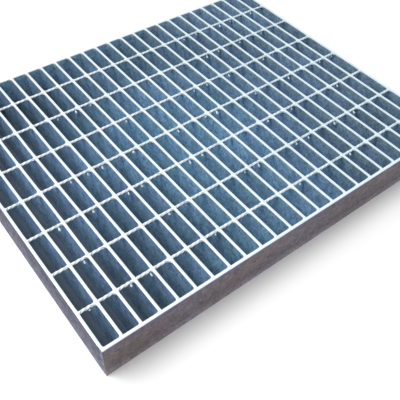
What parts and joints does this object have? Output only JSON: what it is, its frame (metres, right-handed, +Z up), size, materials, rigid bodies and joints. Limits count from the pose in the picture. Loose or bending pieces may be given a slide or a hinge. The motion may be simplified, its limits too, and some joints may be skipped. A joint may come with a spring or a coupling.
{
  "type": "steel grating panel",
  "caption": "Galvanised steel grating panel: deep bearing bars with twisted cross rods welded flush with their tops, closed by a flat end band at the front and the back.",
  "frame": {"origin": "middle of the underside, on the bottom edge of the middle bearing bar", "axes": "+X across the bearing bars to the right, +Y along the bearing bars from the front band to the back band, +Z up to the walking surface"},
  "size_m": [0.996, 0.79, 0.1],
  "materials": {
    "galvanised_mat": "hot-dip galvanised, satin",
    "galvanised_band": "hot-dip galvanised, satin",
    "galvanised_weld": "hot-dip galvanised weld bead"
  },
  "bodies": {
    "root": {"mat": "galvanised_mat", "front_band": "galvanised_band", "back_band": "galvanised_band", "front_welds": "galvanised_weld", "back_welds": "galvanised_weld"}
  },
  "joints": []
}
